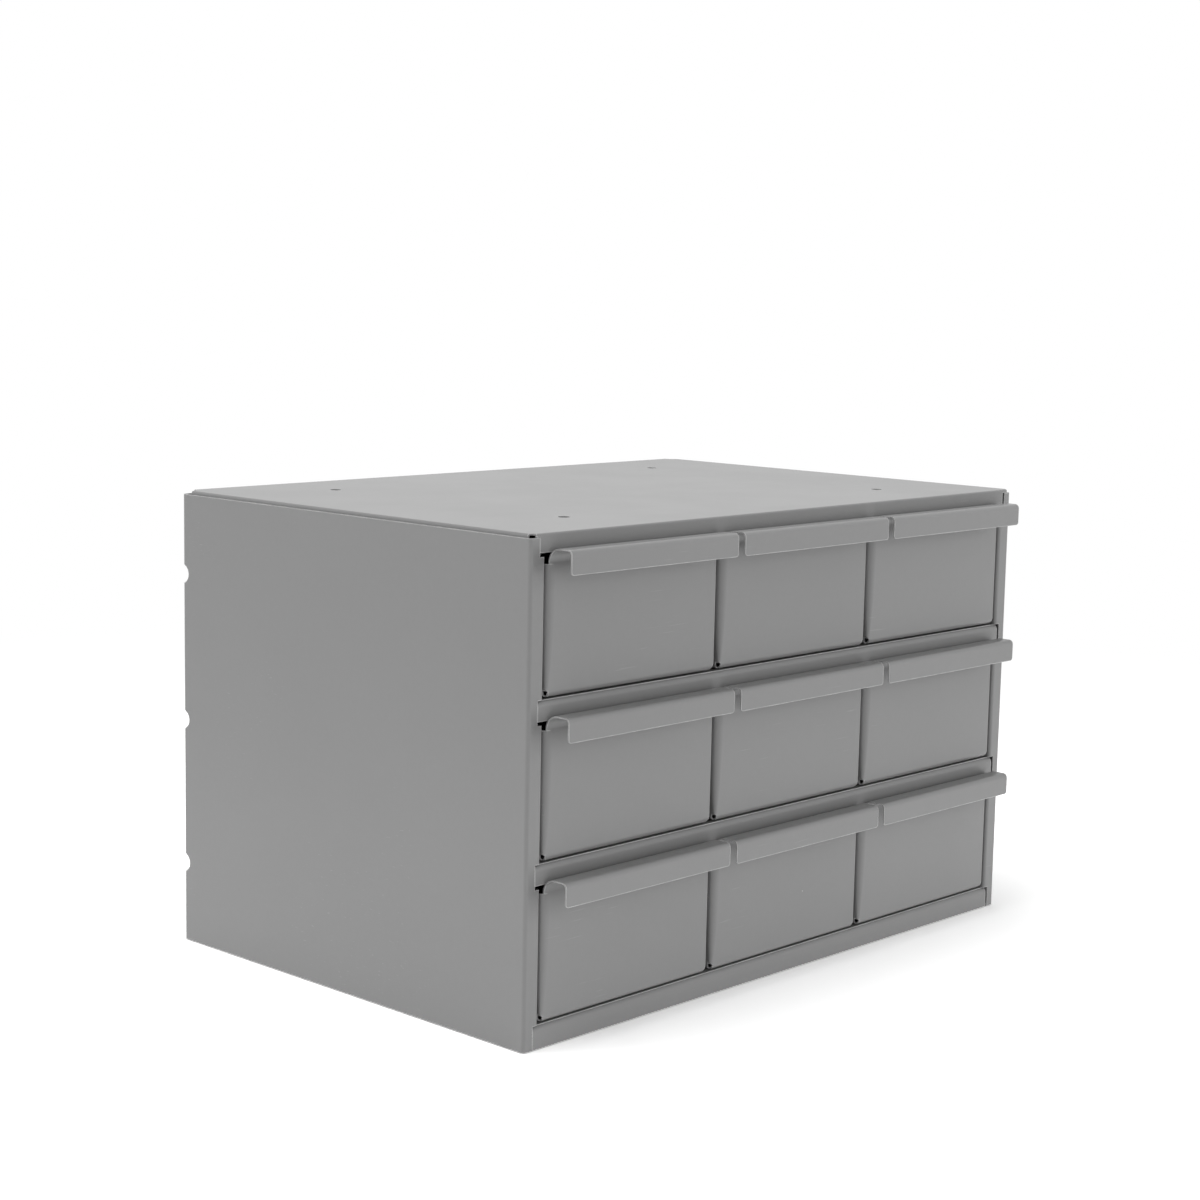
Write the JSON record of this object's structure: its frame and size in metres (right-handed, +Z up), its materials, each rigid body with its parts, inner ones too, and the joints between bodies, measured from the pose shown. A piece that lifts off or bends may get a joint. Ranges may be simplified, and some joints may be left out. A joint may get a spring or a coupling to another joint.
{
  "type": "small drawer cabinet",
  "caption": "Low steel parts cabinet with rows of sliding drawers under full-width hooded pulls, in plain grey enamel.",
  "frame": {"origin": "on the ground under the middle of the cabinet with its pulls, at the centre of the bounding box's bottom face", "axes": "+X to the right seen from the front, +Y towards the back, +Z up; the drawers pull out along -Y"},
  "size_m": [0.4382, 0.3114, 0.2762],
  "materials": {
    "grey_enamel": "semi-gloss grey enamel on steel sheet"
  },
  "bodies": {
    "cabinet": {"case_wrap": "grey_enamel", "top_panel": "grey_enamel", "shelf_upper": "grey_enamel", "shelf_lower": "grey_enamel", "bottom_panel": "grey_enamel", "partition_11": "grey_enamel", "partition_12": "grey_enamel", "side_guide_1_left": "grey_enamel", "side_guide_1_right": "grey_enamel", "partition_21": "grey_enamel", "partition_22": "grey_enamel", "side_guide_2_left": "grey_enamel", "side_guide_2_right": "grey_enamel", "partition_31": "grey_enamel", "partition_32": "grey_enamel", "side_guide_3_left": "grey_enamel", "side_guide_3_right": "grey_enamel"},
    "drawer_11": {"drawer_11": "grey_enamel"},
    "drawer_12": {"drawer_12": "grey_enamel"},
    "drawer_13": {"drawer_13": "grey_enamel"},
    "drawer_21": {"drawer_21": "grey_enamel"},
    "drawer_22": {"drawer_22": "grey_enamel"},
    "drawer_23": {"drawer_23": "grey_enamel"},
    "drawer_31": {"drawer_31": "grey_enamel"},
    "drawer_32": {"drawer_32": "grey_enamel"},
    "drawer_33": {"drawer_33": "grey_enamel"}
  },
  "joints": [
    {"name": "drawer_11_slide", "type": "slide", "parent": "cabinet", "child": "drawer_11", "axis": [0, -1, 0], "range_m": [0, 0.248]},
    {"name": "drawer_12_slide", "type": "slide", "parent": "cabinet", "child": "drawer_12", "axis": [0, -1, 0], "range_m": [0, 0.248]},
    {"name": "drawer_13_slide", "type": "slide", "parent": "cabinet", "child": "drawer_13", "axis": [0, -1, 0], "range_m": [0, 0.248]},
    {"name": "drawer_21_slide", "type": "slide", "parent": "cabinet", "child": "drawer_21", "axis": [0, -1, 0], "range_m": [0, 0.248]},
    {"name": "drawer_22_slide", "type": "slide", "parent": "cabinet", "child": "drawer_22", "axis": [0, -1, 0], "range_m": [0, 0.248]},
    {"name": "drawer_23_slide", "type": "slide", "parent": "cabinet", "child": "drawer_23", "axis": [0, -1, 0], "range_m": [0, 0.248]},
    {"name": "drawer_31_slide", "type": "slide", "parent": "cabinet", "child": "drawer_31", "axis": [0, -1, 0], "range_m": [0, 0.248]},
    {"name": "drawer_32_slide", "type": "slide", "parent": "cabinet", "child": "drawer_32", "axis": [0, -1, 0], "range_m": [0, 0.248]},
    {"name": "drawer_33_slide", "type": "slide", "parent": "cabinet", "child": "drawer_33", "axis": [0, -1, 0], "range_m": [0, 0.248]}
  ]
}
